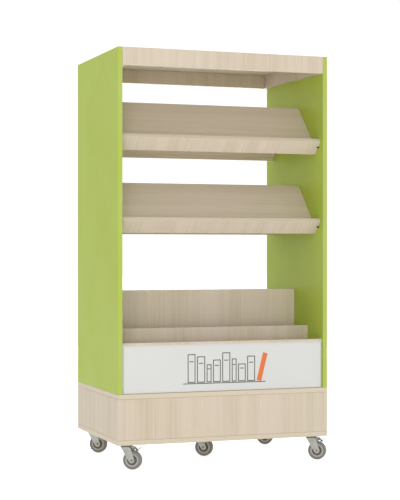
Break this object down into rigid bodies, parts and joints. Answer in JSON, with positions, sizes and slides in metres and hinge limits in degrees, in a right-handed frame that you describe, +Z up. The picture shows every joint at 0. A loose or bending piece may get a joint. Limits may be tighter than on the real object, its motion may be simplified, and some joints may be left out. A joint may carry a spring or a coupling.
{
  "type": "book cart",
  "caption": "Double-sided display cart for books: sloping shelves and a stepped bin between side panels, on a plinth with swivel casters and foot brakes.",
  "frame": {"origin": "on the floor under the middle of the cart", "axes": "+Z up, +X to the right and -Y out of the front side with the braked casters"},
  "size_m": [0.9092, 0.6, 1.663],
  "materials": {
    "wood_board": "satin pale wood-grain laminate board",
    "green_board": "satin light green laminate board",
    "white_panel": "gloss white panel",
    "zinc_steel": "bright zinc-plated pressed steel",
    "dark_steel": "dark oiled steel",
    "wheel_core": "light grey moulded plastic",
    "tyre": "grey non-marking rubber"
  },
  "bodies": {
    "carcase": {"base_floor": "wood_board", "base_deck": "wood_board", "base_front_skirt": "wood_board", "base_rear_skirt": "wood_board", "base_left_skirt": "wood_board", "base_right_skirt": "wood_board", "top_panel": "wood_board", "front_top_fascia": "wood_board", "rear_top_fascia": "wood_board", "left_top_rail": "wood_board", "right_top_rail": "wood_board", "bin_centre_board": "wood_board", "bin_front_divider": "wood_board", "bin_rear_divider": "wood_board", "bin_front_board": "wood_board", "bin_rear_board": "wood_board", "upper_front_display_board": "wood_board", "upper_front_ledge_board": "wood_board", "upper_rear_display_board": "wood_board", "upper_rear_ledge_board": "wood_board", "lower_front_display_board": "wood_board", "lower_front_ledge_board": "wood_board", "lower_rear_display_board": "wood_board", "lower_rear_ledge_board": "wood_board", "left_side_panel": "green_board", "right_side_panel": "green_board", "front_sign_panel": "white_panel", "rear_sign_panel": "white_panel", "front_left_caster_plate": "zinc_steel", "front_left_caster_race": "dark_steel", "front_right_caster_plate": "zinc_steel", "front_right_caster_race": "dark_steel", "rear_left_caster_plate": "zinc_steel", "rear_left_caster_race": "dark_steel", "rear_right_caster_plate": "zinc_steel", "rear_right_caster_race": "dark_steel", "centre_caster_plate": "zinc_steel", "centre_caster_race": "dark_steel"},
    "front_left_swivel": {"front_left_caster_fork": "zinc_steel", "front_left_axle": "dark_steel"},
    "front_left_wheel": {"front_left_wheel_core": "wheel_core", "front_left_tyre": "tyre"},
    "front_left_brake": {"front_left_brake_pedal": "zinc_steel"},
    "front_right_swivel": {"front_right_caster_fork": "zinc_steel", "front_right_axle": "dark_steel"},
    "front_right_wheel": {"front_right_wheel_core": "wheel_core", "front_right_tyre": "tyre"},
    "front_right_brake": {"front_right_brake_pedal": "zinc_steel"},
    "rear_left_swivel": {"rear_left_caster_fork": "zinc_steel", "rear_left_axle": "dark_steel"},
    "rear_left_wheel": {"rear_left_wheel_core": "wheel_core", "rear_left_tyre": "tyre"},
    "rear_right_swivel": {"rear_right_caster_fork": "zinc_steel", "rear_right_axle": "dark_steel"},
    "rear_right_wheel": {"rear_right_wheel_core": "wheel_core", "rear_right_tyre": "tyre"},
    "centre_swivel": {"centre_caster_fork": "zinc_steel", "centre_axle": "dark_steel"},
    "centre_wheel": {"centre_wheel_core": "wheel_core", "centre_tyre": "tyre"}
  },
  "joints": [
    {"name": "front_left_swivel_turn", "type": "hinge", "parent": "carcase", "child": "front_left_swivel", "pos_m": [-0.4, -0.25, 0.0926], "axis": [0, 0, 1], "continuous": true},
    {"name": "front_left_wheel_roll", "type": "hinge", "parent": "front_left_swivel", "child": "front_left_wheel", "pos_m": [-0.37841, -0.26376, 0.0375], "axis": [0.5373, 0.8434, 0], "continuous": true},
    {"name": "front_left_brake_press", "type": "hinge", "parent": "front_left_swivel", "child": "front_left_brake", "pos_m": [-0.37133, -0.26827, 0.084], "axis": [0.5373, 0.8434, 0], "range_deg": [0, 12]},
    {"name": "front_right_swivel_turn", "type": "hinge", "parent": "carcase", "child": "front_right_swivel", "pos_m": [0.4, -0.25, 0.0926], "axis": [0, 0, 1], "continuous": true},
    {"name": "front_right_wheel_roll", "type": "hinge", "parent": "front_right_swivel", "child": "front_right_wheel", "pos_m": [0.42159, -0.26376, 0.0375], "axis": [0.5373, 0.8434, 0], "continuous": true},
    {"name": "front_right_brake_press", "type": "hinge", "parent": "front_right_swivel", "child": "front_right_brake", "pos_m": [0.42867, -0.26827, 0.084], "axis": [0.5373, 0.8434, 0], "range_deg": [0, 12]},
    {"name": "rear_left_swivel_turn", "type": "hinge", "parent": "carcase", "child": "rear_left_swivel", "pos_m": [-0.397, 0.25, 0.0926], "axis": [0, 0, 1], "continuous": true},
    {"name": "rear_left_wheel_roll", "type": "hinge", "parent": "rear_left_swivel", "child": "rear_left_wheel", "pos_m": [-0.37541, 0.23625, 0.0375], "axis": [0.5373, 0.8434, 0], "continuous": true},
    {"name": "rear_right_swivel_turn", "type": "hinge", "parent": "carcase", "child": "rear_right_swivel", "pos_m": [0.374, 0.25, 0.0926], "axis": [0, 0, 1], "continuous": true},
    {"name": "rear_right_wheel_roll", "type": "hinge", "parent": "rear_right_swivel", "child": "rear_right_wheel", "pos_m": [0.39559, 0.23625, 0.0375], "axis": [0.5373, 0.8434, 0], "continuous": true},
    {"name": "centre_swivel_turn", "type": "hinge", "parent": "carcase", "child": "centre_swivel", "pos_m": [-0.0055, 0.005, 0.0926], "axis": [0, 0, 1], "continuous": true},
    {"name": "centre_wheel_roll", "type": "hinge", "parent": "centre_swivel", "child": "centre_wheel", "pos_m": [0.01609, -0.00876, 0.0375], "axis": [0.5373, 0.8434, 0], "continuous": true}
  ]
}
